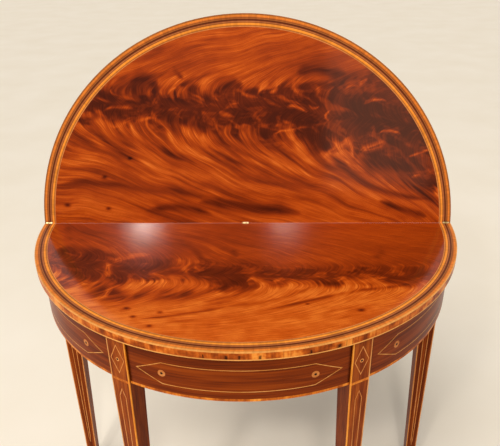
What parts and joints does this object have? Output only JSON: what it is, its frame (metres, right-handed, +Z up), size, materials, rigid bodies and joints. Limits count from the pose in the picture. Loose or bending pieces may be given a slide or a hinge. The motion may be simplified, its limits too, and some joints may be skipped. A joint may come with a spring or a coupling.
{
  "type": "demilune table",
  "caption": "Half-round fold-over table with a flame mahogany top, string-inlaid bow apron and square tapered legs; the leaf hinges flat and gates swing out to carry it.",
  "frame": {"origin": "on the floor, under the middle of the table's overall width and depth with the leaf leaning back", "axes": "+Z up, +X to the right as seen from the front, -Y towards the front of the bow"},
  "size_m": [0.9136, 0.5192, 1.1814],
  "materials": {
    "flame_mahogany": "figured veneer, French polished",
    "plain_mahogany": "straight grained veneer, French polished",
    "mahogany": "solid, French polished",
    "satinwood": "crossbanded veneer, French polished",
    "rosewood": "veneer, French polished",
    "boxwood": "inlaid string, French polished",
    "edge_crossband": "crossbanded veneer, French polished",
    "ebony": "inlaid dot, French polished",
    "carcass_pine": "bare planed softwood, darkened by age",
    "beech": "bare planed hardwood, darkened by age",
    "brass": "aged, rubbed bright on the knuckles",
    "iron": "dark wrought iron"
  },
  "bodies": {
    "frame": {"lower_field_veneer": "flame_mahogany", "lower_crossband_band": "satinwood", "lower_satinwood_band": "satinwood", "lower_rosewood_band": "rosewood", "lower_box_line_band": "boxwood", "lower_arris_strings": "boxwood", "lower_edge_banding": "edge_crossband", "lower_leaf_core": "mahogany", "lower_hinge_screws": "brass", "left_hinge_lower_half": "brass", "centre_hinge_lower_half": "brass", "right_hinge_lower_half": "brass", "hinge_pins": "brass", "top_screws": "iron", "left_gate_pin": "iron", "right_gate_pin": "iron", "apron_panel_strings": "boxwood", "apron_roundels": "boxwood", "apron_roundel_dots": "ebony", "left_front_leg_dot": "ebony", "right_front_leg_dot": "ebony", "apron_bandings": "edge_crossband", "left_front_leg_band": "edge_crossband", "right_front_leg_band": "edge_crossband", "glue_blocks": "carcass_pine", "medial_brace": "carcass_pine", "back_rail": "carcass_pine", "hinge_rail": "beech", "front_apron_rail": "carcass_pine", "front_apron_veneer": "plain_mahogany", "left_apron_rail": "carcass_pine", "left_apron_veneer": "plain_mahogany", "right_apron_rail": "carcass_pine", "right_apron_veneer": "plain_mahogany", "left_front_leg": "mahogany", "left_front_leg_stringing": "boxwood", "right_front_leg": "mahogany", "right_front_leg_stringing": "boxwood"},
    "upper_leaf": {"upper_field_veneer": "flame_mahogany", "upper_crossband_band": "satinwood", "upper_satinwood_band": "satinwood", "upper_rosewood_band": "rosewood", "upper_box_line_band": "boxwood", "upper_arris_strings": "boxwood", "upper_edge_banding": "edge_crossband", "upper_leaf_core": "mahogany", "upper_hinge_screws": "brass", "left_hinge_upper_half": "brass", "centre_hinge_upper_half": "brass", "right_hinge_upper_half": "brass", "upper_outer_veneer": "plain_mahogany"},
    "left_gate": {"left_fly_rail": "beech", "left_back_leg": "mahogany", "left_back_leg_stringing": "boxwood"},
    "right_gate": {"right_fly_rail": "beech", "right_back_leg": "mahogany", "right_back_leg_stringing": "boxwood"}
  },
  "joints": [
    {"name": "leaf_hinge", "type": "hinge", "parent": "frame", "child": "upper_leaf", "pos_m": [0, 0.18541, 0.74005], "axis": [-1, 0, 0], "range_deg": [-97.4, 82.6]},
    {"name": "left_gate_swing", "type": "hinge", "parent": "frame", "child": "left_gate", "pos_m": [-0.075, 0.15586, 0.674], "axis": [0, 0, -1], "range_deg": [0, 80]},
    {"name": "right_gate_swing", "type": "hinge", "parent": "frame", "child": "right_gate", "pos_m": [0.075, 0.15586, 0.674], "axis": [0, 0, 1], "range_deg": [0, 80]}
  ]
}
